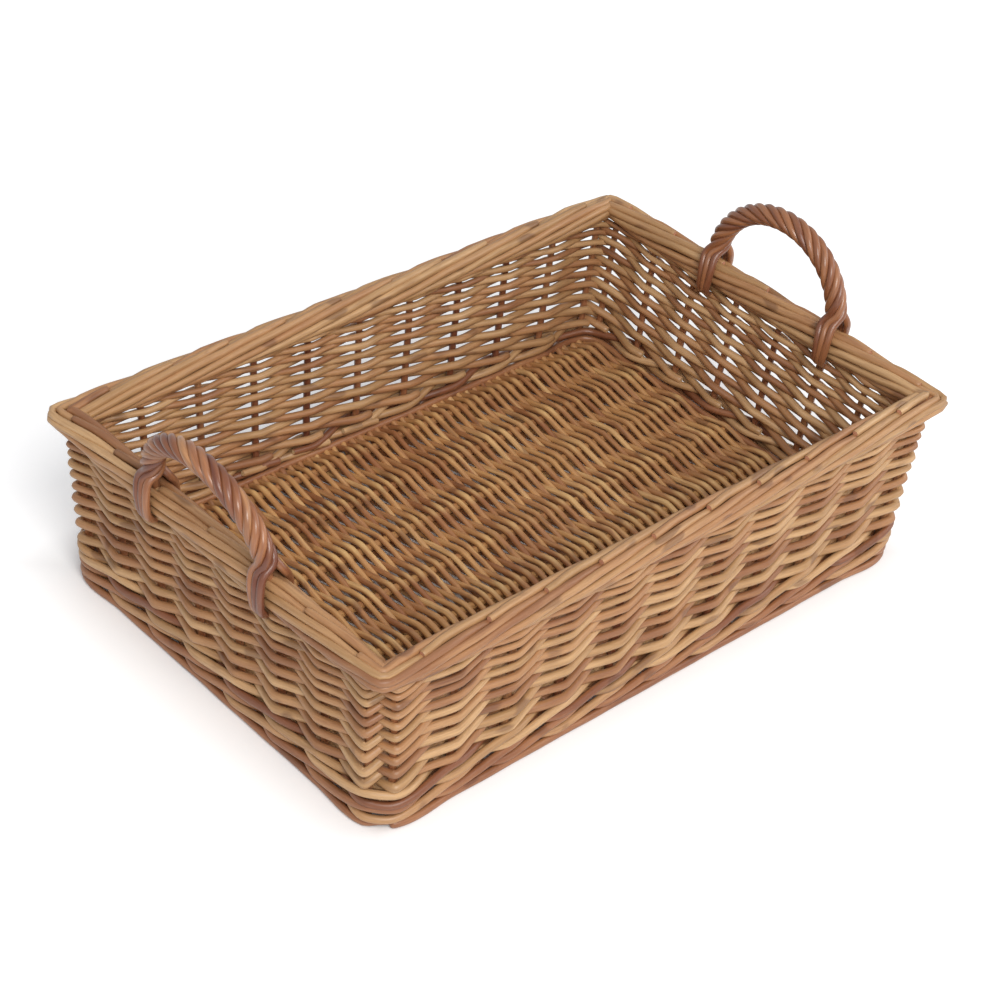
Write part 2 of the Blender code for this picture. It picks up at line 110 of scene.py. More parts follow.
def between_posts(table, posts):
    """A table's rows at posts, or between two posts where the number isn't whole."""
    near = np.floor(posts).astype(int)
    share = (posts - near)[..., None]
    return table[near % POSTS] * (1 - share) + table[(near + 1) % POSTS] * share


def at_posts(posts, heights):
    """The middle of each post at a height: half sizes grow evenly from the ground to the border."""
    half = GROUND_HALF + (BORDER_HALF - GROUND_HALF) * (heights / BORDER_MIDDLE)[..., None]
    flat = between_posts(POST_REACH, posts) * half - between_posts(POST_INSET, posts) * CORNER_INSET
    return np.concatenate([flat, heights[..., None]], axis=-1)


def post_directions():
    """Along and out at each post: along is halfway between the ways to its two neighbours."""
    middles = at_posts(np.arange(POSTS), np.full(POSTS, HALFWAY_UP))
    ahead = unit((np.roll(middles, -1, axis=0) - middles) * (1, 1, 0))
    along = unit(ahead + np.roll(ahead, 1, axis=0))
    out = np.stack([along[:, 1], -along[:, 0], np.zeros(POSTS)], axis=-1)
    return along, out


ALONG, OUT = post_directions()
CORNER_POSTS = np.flatnonzero(np.abs(POST_INSET).max(axis=1) == 1)
WALL_ALONG = np.array([(*along, 0.0) for along, out, count in WALLS for post in range(count)])


# Middle lines


def distance_along(lines):
    """For each point of each line, how far along its line it lies."""
    steps = np.linalg.norm(np.diff(lines, axis=1), axis=-1)
    return np.concatenate([np.zeros((len(lines), 1)), np.cumsum(steps, axis=1)], axis=1)


def cubic(knots, tangents, samples):
    """Smooth lines through knots: between two knots runs the cubic with their two tangents."""
    share = np.arange(samples) / samples
    basis = (
        2 * share**3 - 3 * share**2 + 1,
        share**3 - 2 * share**2 + share,
        3 * share**2 - 2 * share**3,
        share**3 - share**2,
    )
    length = np.linalg.norm(np.diff(knots, axis=1), axis=-1)[..., None]
    ends = (knots[:, :-1], tangents[:, :-1] * length, knots[:, 1:], tangents[:, 1:] * length)
    points = sum(end[:, :, None, :] * curve[:, None] for end, curve in zip(ends, basis))
    points = points.reshape(len(knots), -1, knots.shape[-1])
    return np.concatenate([points, knots[:, -1:]], axis=1)


def through(knots, samples):
    """Smooth lines through knots, with each tangent along the way from neighbour to neighbour."""
    steps = np.linalg.norm(np.diff(knots, axis=1), axis=-1)[..., None]
    ways = np.diff(knots, axis=1) / steps
    middle = unit(ways[:, 1:] * steps[:, :-1] + ways[:, :-1] * steps[:, 1:])
    tangents = np.concatenate([ways[:, :1], middle, ways[:, -1:]], axis=1)
    return cubic(knots, tangents, samples)


def carried(values, samples):
    """Values at knots, spread evenly over the samples of a smooth line."""
    share = np.arange(samples) / samples
    between = values[:, :-1, None] * (1 - share) + values[:, 1:, None] * share
    return np.concatenate([between.reshape(len(values), -1), values[:, -1:]], axis=1)


def threaded(posts, heights, outward, samples, hug):
    """Middle lines of rods that pass posts, each at its height and distance outward there.

    At a post the line runs along the wall, and it rises there as it does from the post before to
    the post after.
    """
    out = unit(between_posts(OUT, posts))
    knots = at_posts(posts, heights) + out * outward[..., None]
    place = distance_along(knots[..., :2])
    run = np.diff(place, axis=1)
    slope = np.empty_like(heights)
    slope[:, 1:-1] = (heights[:, 2:] - heights[:, :-2]) / (place[:, 2:] - place[:, :-2])
    slope[:, 0] = (heights[:, 1] - heights[:, 0]) / run[:, 0]
    slope[:, -1] = (heights[:, -1] - heights[:, -2]) / run[:, -1]
    along = unit(between_posts(ALONG, posts))
    tangents = (along + UP * slope[..., None]) * hug
    return cubic(knots, tangents, samples)


def wandering(lines, wander):
    """The same lines with a slow sideways wander: sums of sines with a phase for each rod."""
    size, length = wander
    place = distance_along(lines)
    phases = chance.uniform(0, 2 * np.pi, (len(WANDER_WAVES), 3, len(lines), 1))
    moved = np.zeros_like(lines)
    for wave, share in enumerate(WANDER_WAVES):
        turn = 2 * np.pi * place / (length * share)
        for axis in range(3):
            moved[..., axis] += np.sin(turn + phases[wave, axis])
    return lines + moved * size / 2


# Rods as meshes


def rod_rings(lines, radii, sides, reference):
    """Rings of points round middle lines: middle + radius x (cos a x side + sin a x over)."""
    tangent = unit(np.gradient(lines, axis=1))
    first = lines[:, :1] - tangent[:, :1] * radii[:, :1, None] * END_REACH
    last = lines[:, -1:] + tangent[:, -1:] * radii[:, -1:, None] * END_REACH
    lines = np.concatenate([first, lines, last], axis=1)
    radii = np.concatenate([radii[:, :1] * END_WIDTH, radii, radii[:, -1:] * END_WIDTH], axis=1)
    tangent = np.concatenate([tangent[:, :1], tangent, tangent[:, -1:]], axis=1)
    side = unit(np.cross(tangent, reference))
    over = np.cross(side, tangent)
    angle = 2 * np.pi * np.arange(sides)[:, None] / sides
    round_it = side[:, :, None] * np.cos(angle) + over[:, :, None] * np.sin(angle)
    return lines[:, :, None] + radii[:, :, None, None] * round_it, distance_along(lines)


def rod_faces(count, rings, sides):
    """Point numbers of the faces with four corners along the rods, and of the caps at their ends."""
    index = np.arange(count * rings * sides).reshape(count, rings, sides)
    beyond = np.roll(index, -1, axis=2)
    quads = np.stack([index[:, :-1], index[:, 1:], beyond[:, 1:], beyond[:, :-1]], axis=-1)
    caps = np.concatenate([index[:, 0], index[:, -1, ::-1]])
    return quads.reshape(-1, 4), caps


def rod_map(place, sides, caps):
    """The same corners on the map: metres along a rod and a share round it, or a disk on a cap."""
    along = np.broadcast_to(place[:, :, None], (*place.shape, sides))
    around = np.broadcast_to(np.arange(sides) / sides, along.shape)
    near = np.stack([along, around], axis=-1)
    far = near + (0, 1 / sides)
    quad_map = np.stack([near[:, :-1], near[:, 1:], far[:, 1:], far[:, :-1]], axis=-2)
    angle = 2 * np.pi * np.arange(sides) / sides
    cap_map = np.tile(np.stack([np.cos(angle), np.sin(angle)], axis=-1), (caps, 1))
    return np.concatenate([quad_map.reshape(-1, 2), cap_map])


def rods(name, lines, radii, looks, sides=8, reference=UP):
    """One mesh of closed round rods, each with its own tone and with cut faces at its ends.

    lines is rods x points x 3 and radii is rods x points. looks are those of the rods and of their
    cut faces.
    """
    points, place = rod_rings(lines, radii, sides, reference)
    count, rings = place.shape
    quads, caps = rod_faces(count, rings, sides)
    corners = np.concatenate([quads.ravel(), caps.ravel()])
    cap_starts = quads.size + np.arange(len(caps)) * sides
    starts = np.concatenate([np.arange(len(quads)) * 4, cap_starts])
    is_cap = np.arange(len(starts)) >= len(quads)

    mesh = bpy.data.meshes.new(name)
    mesh.vertices.add(count * rings * sides)
    mesh.vertices.foreach_set("co", points.astype(np.float32).ravel())
    mesh.loops.add(len(corners))
    mesh.loops.foreach_set("vertex_index", corners.astype(np.int32))
    mesh.polygons.add(len(starts))
    mesh.polygons.foreach_set("loop_start", starts.astype(np.int32))
    mesh.polygons.foreach_set("material_index", is_cap.astype(np.int32))
    mesh.update(calc_edges=True)
    mesh.polygons.foreach_set("use_smooth", ~is_cap)

    spread = rod_map(place, sides, len(caps))
    mesh.uv_layers.new(name="along").data.foreach_set("uv", spread.astype(np.float32).ravel())
    tone = mesh.attributes.new("tone", "FLOAT", "POINT")
    tones = np.repeat(chance.uniform(0, 1, count), rings * sides)
    tone.data.foreach_set("value", tones.astype(np.float32))
    for look in looks:
        mesh.materials.append(look)
    made = bpy.data.objects.new(name, mesh)
    bpy.context.scene.collection.objects.link(made)
    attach(made, "root")
    return made


# Looks

BLACK = (0, 0, 0, 1)
WHITE = (1, 1, 1, 1)

# Noises on a rod: changes in a metre along it, changes round it, detail and roughness
STREAKS = (55, 2.4, 5.0, 0.62)
BLOTCHES = (17, 0.45, 2.0, 0.5)
FLECKS = (230, 5.5, 3.0, 0.7)
KNOTS = (34, 0.25, 0.0, 0.55)

# Patches of the painted highlight on the crests: changes in a metre and detail
PATCHES = (26, 2.0)

# Where a noise begins to show and where it shows in full
STREAK_RANGE = (0.42, 0.68)
FLECK_RANGE = (0.60, 0.78)
KNOT_RANGE = (0.70, 0.76)
PATCH_RANGE = (0.40, 0.58)

# How strongly each mark colours the rod, and its colour on a screen
STREAK_SHARE = 0.38
FLECK_SHARE = 0.22
FLECK_COLOUR = (226, 196, 150)
KNOT_COLOUR = (96, 58, 38)
# The painted highlight on the base weavers' crests: how strongly it colours the rod, and its colour
# on a screen
CREST_HIGHLIGHT_SHARE = 0.55
CREST_HIGHLIGHT_COLOUR = (228, 190, 128)
BLOTCH_SHIFT = 0.9

# How far a rod's tone moves its noises in two directions
TONE_STEPS = (57.0, 31.0)

# A rod's dullness and its bump
STREAK_DULLNESS = 0.24
DULLNESS_BELOW_GLOSS = 0.10
FLECK_HEIGHT = 0.35
KNOT_HEIGHT = 0.8
ROD_BUMP = {"Strength": 0.35, "Distance": 0.0006}
ROD_SPECULAR = 0.5
COAT_ROUGHNESS = 0.30

# A cut face: places of pith, wood, wood and bark from its middle out, its grain and its bump
CUT_STOPS = (0.12, 0.40, 0.95, 1.0)
CUT_GRAIN = (6.0, 3.0)
CUT_GRAIN_SHARE = 0.35
CUT_BUMP = {"Strength": 0.3, "Distance": 0.0003}
CUT_ROUGHNESS = 0.7


def paint(red, green, blue):
    """A colour as it looks on a screen, from 0 to 255, in the shader's own scale."""
    screen = np.array((red, green, blue)) / 255
    straight = np.where(screen <= 0.04045, screen / 12.92, ((screen + 0.055) / 1.055) ** 2.4)
    return (*straight, 1)


def add(tree, kind, inputs=(), **settings):
    """A node with its settings; each input is a name or number with a value or another's output."""
    node = tree.nodes.new(kind)
    for name, value in settings.items():
        setattr(node, name, value)
    for key, value in dict(inputs).items():
        if isinstance(value, bpy.types.NodeSocket):
            tree.links.new(value, node.inputs[key])
        else:
            node.inputs[key].default_value = value
    return node


def maths(tree, operation, *values):
    return add(tree, "ShaderNodeMath", enumerate(values), operation=operation).outputs[0]


def ramp(tree, value, places, colours):
    """A colour ramp with each colour at its place."""
    node = add(tree, "ShaderNodeValToRGB", {"Fac": value})
    stops = node.color_ramp.elements
    while len(stops) < len(places):
        stops.new(0.5)
    for stop, place, colour in zip(stops, places, colours):
        stop.position = place
        stop.color = colour
    return node.outputs["Color"]


def shown(tree, value, limits):
    """Black up to the lower limit and white from the upper one."""
    return ramp(tree, value, limits, (BLACK, WHITE))


def mixed(tree, share, first, second):
    inputs = {0: share, 6: first, 7: second}
    return add(tree, "ShaderNodeMix", inputs, data_type="RGBA").outputs[2]


def marked(tree, colour, mark, strength, second):
    """A colour with a second one over it where a mark shows, at a strength."""
    return mixed(tree, maths(tree, "MULTIPLY", mark, strength), colour, paint(*second))


def noise(tree, vector, scale, detail, roughness=0.55):
    inputs = {"Vector": vector, "Scale": scale, "Detail": detail, "Roughness": roughness}
    return add(tree, "ShaderNodeTexNoise", inputs).outputs["Fac"]


def new_look(name):
    look = bpy.data.materials.new(name)
    look.use_nodes = True
    return look, look.node_tree, look.node_tree.nodes["Principled BSDF"]


def bumped(tree, shader, height, bump):
    """Joins a height to a shader's normal."""
    node = add(tree, "ShaderNodeBump", {**bump, "Height": height})
    tree.links.new(node.outputs[0], shader.inputs["Normal"])


def rod_places(tree):
    """Where a point is on its rod: metres along it, and round it as a cosine and a sine."""
    spread = add(tree, "ShaderNodeUVMap", uv_map="along").outputs[0]
    parts = add(tree, "ShaderNodeSeparateXYZ", {0: spread})
    turn = maths(tree, "MULTIPLY", parts.outputs[1], 2 * np.pi)
    return parts.outputs[0], maths(tree, "COSINE", turn), maths(tree, "SINE", turn)


def rod_noise(tree, places, tone, along_scale, round_scale, detail, roughness):
    """A noise that is drawn out along the rod, and different for each rod."""
    along, cosine, sine = places
    first = maths(tree, "MULTIPLY", along, along_scale)
    moved = [maths(tree, "MULTIPLY", tone, step) for step in TONE_STEPS]
    second = maths(tree, "MULTIPLY_ADD", cosine, round_scale, moved[0])
    third = maths(tree, "MULTIPLY_ADD", sine, round_scale, moved[1])
    place = add(tree, "ShaderNodeCombineXYZ", {0: first, 1: second, 2: third}).outputs[0]
    return noise(tree, place, 1.0, detail, roughness)


def painted_crest_highlight(tree, heights):
    """A painted highlight in patches that grows between two heights, on the tops of the rods."""
    here = add(tree, "ShaderNodeTexCoord").outputs["Object"]
    level = add(tree, "ShaderNodeSeparateXYZ", {0: here}).outputs[2]
    low, high = heights
    crest = add(tree, "ShaderNodeMapRange", {0: level, 1: low, 2: high}).outputs[0]
    return maths(tree, "MULTIPLY", crest, shown(tree, noise(tree, here, *PATCHES), PATCH_RANGE))


def willow(name, tones, stain, gloss=0.42, knots=0.5, coat=0.12, crest_highlight_heights=None):
    """Boiled willow under a thin varnish: a tone for each rod, streaks along it, knots and stains.

    The last argument is a pair of heights between which the rods grow paler, in patches, as a painted
    highlight on the crests.
    """
    look, tree, shader = new_look(name)
    tone = add(tree, "ShaderNodeAttribute", attribute_name="tone").outputs["Fac"]
    places = rod_places(tree)
    streaks = rod_noise(tree, places, tone, *STREAKS)
    blotches = rod_noise(tree, places, tone, *BLOTCHES)
    flecks = rod_noise(tree, places, tone, *FLECKS)
    knot = shown(tree, rod_noise(tree, places, tone, *KNOTS), KNOT_RANGE)

    shift = maths(tree, "MULTIPLY_ADD", maths(tree, "SUBTRACT", blotches, 0.5), BLOTCH_SHIFT, tone)
    colour = ramp(tree, shift, np.linspace(0, 1, len(tones)), [paint(*each) for each in tones])
    colour = marked(tree, colour, shown(tree, streaks, STREAK_RANGE), STREAK_SHARE, stain)
    colour = marked(tree, colour, shown(tree, flecks, FLECK_RANGE), FLECK_SHARE, FLECK_COLOUR)
    colour = marked(tree, colour, knot, knots, KNOT_COLOUR)
    # A painted highlight: paler in patches where the rods lie highest, on the crests over the sticks
    if crest_highlight_heights:
        colour = marked(tree, colour, painted_crest_highlight(tree, crest_highlight_heights), CREST_HIGHLIGHT_SHARE, CREST_HIGHLIGHT_COLOUR)
    tree.links.new(colour, shader.inputs["Base Color"])

    dull = maths(tree, "MULTIPLY_ADD", streaks, STREAK_DULLNESS, gloss - DULLNESS_BELOW_GLOSS)
    tree.links.new(dull, shader.inputs["Roughness"])
    height = maths(tree, "MULTIPLY_ADD", flecks, FLECK_HEIGHT, streaks)
    height = maths(tree, "MULTIPLY_ADD", knot, KNOT_HEIGHT, height)
    bumped(tree, shader, height, ROD_BUMP)
    shader.inputs["Specular IOR Level"].default_value = ROD_SPECULAR
    shader.inputs["Coat Weight"].default_value = coat
    shader.inputs["Coat Roughness"].default_value = COAT_ROUGHNESS
    return look


def cut_face(name, wood, heart):
    """The cut end of a rod: pale wood round a darker pith, with fine rings."""
    look, tree, shader = new_look(name)
    spread = add(tree, "ShaderNodeUVMap", uv_map="along").outputs[0]
    reach = add(tree, "ShaderNodeVectorMath", {0: spread}, operation="LENGTH").outputs["Value"]
    grain = noise(tree, spread, *CUT_GRAIN)
    rings = maths(tree, "MULTIPLY_ADD", grain, CUT_GRAIN_SHARE, reach)
    colour = ramp(tree, rings, CUT_STOPS, [paint(*each) for each in (heart, wood, wood, heart)])
    tree.links.new(colour, shader.inputs["Base Color"])
    bumped(tree, shader, grain, CUT_BUMP)
    shader.inputs["Roughness"].default_value = CUT_ROUGHNESS
    return look


buff_tones = ((146, 98, 64), (174, 126, 84), (186, 142, 98), (172, 132, 88), (200, 160, 114))
reddish_tones = ((128, 78, 50), (156, 104, 68), (172, 122, 82), (148, 94, 60), (184, 138, 96))
golden_tones = ((150, 97, 60), (178, 127, 80), (198, 149, 94), (166, 114, 74), (214, 170, 114))
dark_tones = ((112, 62, 42), (142, 88, 56), (168, 112, 74), (126, 74, 50), (188, 136, 92))
buff = willow("buff_willow_rods", buff_tones, stain=(132, 88, 60))
reddish = willow("reddish_willow_rods", reddish_tones, stain=(116, 70, 48), gloss=0.38)
# The golden rods are paler on the crests over the base sticks: a painted highlight
golden = willow("golden_willow_rods", golden_tones, stain=(124, 80, 48), crest_highlight_heights=(0.0262, 0.0286))
dark = willow("dark_willow_rods", dark_tones, stain=(98, 56, 40), gloss=0.29, knots=0.2, coat=0.4)
pale_cut = cut_face("pale_cut_face", wood=(214, 186, 142), heart=(168, 120, 82))
red_cut = cut_face("reddish_cut_face", wood=(190, 134, 104), heart=(146, 92, 68))


# Stakes

STAKE_BOTTOM = 0.0012
STAKE_TOP = 0.1400
STAKE_TOP_RADIUS = 0.0029
STAKE_POINTS = 12
STAKE_WANDER = (0.00025, 0.09)

# The stakes are nearly upright, so their rings are turned from a level direction
STAKE_REFERENCE = np.array((0.6, 0.8, 0))


def make_stakes():
    """The upright posts, from just above the ground up into the border."""
    posts = np.arange(POSTS)
    heights = np.linspace(STAKE_BOTTOM, STAKE_TOP, STAKE_POINTS)
    lines = np.stack([at_posts(posts, np.full(POSTS, height)) for height in heights], axis=1)
    lines = wandering(lines, STAKE_WANDER)
    radii = np.linspace(POST_RADIUS, STAKE_TOP_RADIUS, STAKE_POINTS)
    radii = np.broadcast_to(radii, (POSTS, STAKE_POINTS))
    looks = (dark, pale_cut)
    made = rods("stakes", lines, radii, looks, reference=STAKE_REFERENCE)
    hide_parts(*[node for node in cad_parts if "_stake_" in node])


# Siding

SIDING_LOWEST = 0.0384
SIDING_STEP = 0.0072
SIDING_SHRINK = 0.000094
SIDING_HALF_ROUNDS = 19
SIDING_DIP = 0.62
SIDING_PRESS = 0.92
SIDING_SAMPLES = 14
SIDING_HUG = 0.36
SIDING_WANDER = (0.0003, 0.06)
BUTT_RADIUS = 0.0036
TIP_RADIUS = 0.0025

# Samples that are kept before a weaver's first post and after its last one
BUTT_SAMPLES = 4
TIP_SAMPLES = 5

# Chance: of each height, of each weaver's thickness and of its thickness at each post
SIDING_HEIGHT_CHANCE = 0.0004
WEAVER_THICKNESS = (0.90, 1.07)
PASS_THICKNESS = (0.97, 1.03)


def make_siding():
    """French randing: a weaver starts at each post, passes in front of the next one and behind the
    one after that, and goes up by a step at each.

    The height after h steps is lowest + step x h - shrink x h squared, because the rods taper. In
    front of a post it is lower by a share of the local step: the weaver comes out level and then
    climbs over the next one on its way in.
    """
    start = np.arange(POSTS)[:, None]
    half_rounds = np.arange(-1, SIDING_HALF_ROUNDS + 2)[None, :] * np.ones((POSTS, 1), int)
    inner = half_rounds % 2 == 0
    rise = half_rounds.clip(-0.5, SIDING_HALF_ROUNDS + 0.5)
    heights = SIDING_LOWEST + SIDING_STEP * rise - SIDING_SHRINK * rise**2
    dip = SIDING_DIP * (SIDING_STEP - 2 * SIDING_SHRINK * rise)
    heights = np.where(inner, heights, heights - dip)
    heights = heights + chance.normal(0, SIDING_HEIGHT_CHANCE, heights.shape)

    radii = BUTT_RADIUS - (BUTT_RADIUS - TIP_RADIUS) * half_rounds / SIDING_HALF_ROUNDS
    radii = radii * chance.uniform(*WEAVER_THICKNESS, (POSTS, 1))
    radii = radii * chance.uniform(*PASS_THICKNESS, radii.shape)
    reach = POST_RADIUS + radii * SIDING_PRESS
    outward = np.where(inner, -reach, reach)
    lines = threaded(start + half_rounds, heights, outward, SIDING_SAMPLES, SIDING_HUG)
    kept = slice(SIDING_SAMPLES - BUTT_SAMPLES, TIP_SAMPLES - SIDING_SAMPLES)
    lines = wandering(lines[:, kept], SIDING_WANDER)
    radii = carried(radii, SIDING_SAMPLES)[:, kept]

    half = POSTS // 2
    looks = (buff, pale_cut)
    made = rods("siding_front_and_right", lines[:half], radii[:half], looks)
    rods("siding_rear_and_left", lines[half:], radii[half:], looks)
    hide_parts("siding")


# Wale and foot

WALE_LOWEST = 0.0092
WALE_ROUND = 0.0147
WALE_ROUNDS = 2
WALE_RODS = 3

# How far a wale rod falls, and its height as a share of that: behind a post and before two
WALE_DROP = 0.0098
WALE_LEVELS = (0.70, 0.0, 1.0)

# The stops at which a round's three rods start, and the one at which the last of them ends
WALE_JOINS = (18, 54, 87, 120)

# A wale rod's ends: their reach past a post, their step down or up, and the tip's width
WALE_END_REACH = 0.35
WALE_END_STEP = 0.0016
WALE_TIP_WIDTH = 0.8

WALE_RADIUS = 0.0033
WALE_RADIUS_CHANCE = 0.00008
WALE_HEIGHT_CHANCE = 0.0004
WALE_SAMPLES = 14
WALE_HUG = 0.8
WALE_WANDER = (0.0003, 0.09)


def stop_posts():
    """The posts passed one by one, where the two at a corner count as one stop."""
    stops = []
    for post in range(POSTS):
        last_of_pair = post in CORNER_POSTS and (post - 1) % POSTS in CORNER_POSTS
        if last_of_pair and stops:
            stops[-1].append(post)
        else:
            stops.append([post])
    stops[-1].append(stops[0][0])
    return stops[1:]


def wale_passes(stops, turn, first, last):
    """A wale rod's posts, with its height, distance outward and radius at each."""
    posts, heights, outward, radii = [], [], [], []
    for step in range(first, last + 1):
        phase = step % WALE_RODS
        level = WALE_LOWEST + WALE_ROUND * turn + WALE_DROP * WALE_LEVELS[phase]
        level += chance.normal(0, WALE_HEIGHT_CHANCE)
        for post in stops[step % len(stops)]:
            radius = WALE_RADIUS + chance.normal(0, WALE_RADIUS_CHANCE)
            posts.append(float(post))
            heights.append(level)
            outward.append((-1 if phase == 0 else 1) * (POST_RADIUS + radius))
            radii.append(radius)
    return np.unwrap(np.array(posts), period=POSTS), heights, outward, radii


def make_wale():
    """Three-rod wale, two rounds: a rod passes in front of two posts, rising, and behind one.

    A round's three rods follow each other; where one ends and the next starts, inside the rear
    wall, the new butt lies just under the old end.
    """
    stops = stop_posts()
    for turn in range(WALE_ROUNDS):
        for rod in range(WALE_RODS):
            first, last = (join + WALE_RODS * turn for join in WALE_JOINS[rod : rod + 2])
            posts, heights, outward, radii = wale_passes(stops, turn, first, last)
            posts = np.array([[posts[0] - WALE_END_REACH, *posts, posts[-1] + WALE_END_REACH]])
            heights = np.array([[heights[0] - WALE_END_STEP, *heights, heights[-1] + WALE_END_STEP]])
            outward = np.array([[outward[0], *outward, outward[-1]]])
            radii = np.array([[radii[0], *radii, radii[-1] * WALE_TIP_WIDTH]])
            lines = threaded(posts, heights, outward, WALE_SAMPLES, WALE_HUG)
            lines = wandering(lines, WALE_WANDER)
            radii = carried(radii, WALE_SAMPLES)
            name = f"wale_round_{turn + 1}_rod_{rod + 1}"
            looks = (reddish if (turn + rod) % 2 == 0 else buff, pale_cut)
            made = rods(name, lines, radii, looks, THICK_SIDES)
            if rod == 0:
                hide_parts(f"wale_rod_{turn + 1}")


FOOT_RADIUS = 0.0031
FOOT_GROUND_GAP = 0.0001
FOOT_WALL_GAP = 0.0002
FOOT_SAMPLES = 14
FOOT_HUG = 0.9
FOOT_WANDER = (0.0002, 0.09)

# The foot rod's butt at the near corner: its place before the post, its height and a step inward
FOOT_BUTT_REACH = 0.05
FOOT_BUTT_HEIGHT = 0.0030
FOOT_BUTT_STEP = 0.0010

# Its tip: places from the near corner's post, the last three radii, two heights and a step outward
FOOT_TIP_PLACES = (-0.45, 0.22)
FOOT_TIP_RADII = (0.0030, 0.0027, 0.0020)
FOOT_TIP_HEIGHTS = (0.0048, 0.0040)
FOOT_TIP_STEP = 0.0032


def make_foot():
    """The lowest rod, outside the posts: its thin end goes round the near corner over its butt."""
    tip = [POSTS + place for place in FOOT_TIP_PLACES]
    posts = np.array([[-FOOT_BUTT_REACH, *range(POSTS), *tip]])
    radii = np.full(posts.shape, FOOT_RADIUS)
    radii[:, -3:] = FOOT_TIP_RADII
    heights = radii + FOOT_GROUND_GAP
    heights[:, 0] = FOOT_BUTT_HEIGHT
    heights[:, -2:] = FOOT_TIP_HEIGHTS
    outward = POST_RADIUS + radii + FOOT_WALL_GAP
    outward[:, 0] -= FOOT_BUTT_STEP
    outward[:, -1] += FOOT_TIP_STEP
    lines = wandering(threaded(posts, heights, outward, FOOT_SAMPLES, FOOT_HUG), FOOT_WANDER)
    radii = carried(radii, FOOT_SAMPLES)
    made = rods("foot_rod", lines, radii, (reddish, pale_cut), THICK_SIDES)
    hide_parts("foot_ring")


# Border

BORDER_RODS = 34
BORDER_STRANDS = 9
BORDER_ROD_RADIUS = 0.0034
BORDER_ACROSS = 0.0082
BORDER_UPRIGHT = 0.0094
BORDER_CORE_RADIUS = 0.0052
BORDER_WANDER = (0.0003, 0.08)

# A rod's turns round the bundle, the angle and place at which the first one starts, and chance
BORDER_TURNS = 1.02
BORDER_START_ANGLE = 80
BORDER_START = 0.021
BORDER_START_CHANCE = 0.002

# Points on a rod, samples of the middle line, and every how many of these the core has a point
BORDER_POINTS = 150
BORDER_SAMPLES = 24
BORDER_CORE_EVERY = 4

# The way along the border at a point is measured over this much before and after it
BORDER_AHEAD = 0.008

# The power that gives the bundle fuller sides than an ellipse has
BORDER_FULLNESS = 0.85

# A rod lies out by this share at first, and at its end, over a part of a turn, it tucks in
BORDER_SPREAD = 1.02
TUCK_DEPTH = 0.55
TUCK_FROM = 0.93
TUCK_OVER = 0.09

# A border rod's thickness: at both ends of its taper, less at its cut end, and by chance
BORDER_TAPER = (1.04, 0.86)
BORDER_CUT_THINNER = 0.22
BORDER_CUT_LENGTH = 0.020
BORDER_THICKNESS = (0.93, 1.05)

CORNER_FLATTEN = 0.40
CORNER_REACH = 0.030
CORNER_LIFT = 0.0012

# For the right, far, left and near corners: how much narrower the border is, and how sharp
CORNER_NARROW = np.array((-0.25, 0.0, -0.25, 0.15))
CORNER_SHARPNESS = np.array((3.2, 2.8, 3.2, 2.6))


def border_middle():
    """The border's closed middle line, its points' distances along it and those of its corners."""
    posts = np.arange(POSTS + 1) % POSTS
    knots = at_posts(posts, np.full(posts.shape, BORDER_MIDDLE))
    corner = np.isin(posts, CORNER_POSTS)
    sharpness = np.ones(POSTS)
    sharpness[CORNER_POSTS] = np.roll(np.repeat(CORNER_SHARPNESS, 2), 1)
    tangents = WALL_ALONG[posts] * sharpness[posts, None]
    line = cubic(knots[None], tangents[None], BORDER_SAMPLES)
    place = distance_along(line)[0]
    middles = np.flatnonzero(corner[:-1] & corner[1:]) * BORDER_SAMPLES + BORDER_SAMPLES // 2
    return line[0], place, place[middles]


def on_border(line, place, travelled):
    """Points on the closed middle line at the distances travelled along it."""
    travelled = travelled % place[-1]
    return np.stack([np.interp(travelled, place, line[:, axis]) for axis in range(3)], axis=-1)


def fuller(wave):
    """A sine or cosine with its size raised to a power and its own sign."""
    return np.abs(wave) ** BORDER_FULLNESS * np.sign(wave)


def border_radii(places):
    """Each rod tapers evenly and is thinner at its cut end."""
    taper = np.linspace(*BORDER_TAPER, places.shape[1])
    taper = taper * (1 - BORDER_CUT_THINNER * np.exp(-places / BORDER_CUT_LENGTH))
    return BORDER_ROD_RADIUS * taper * chance.uniform(*BORDER_THICKNESS, (BORDER_RODS, 1))


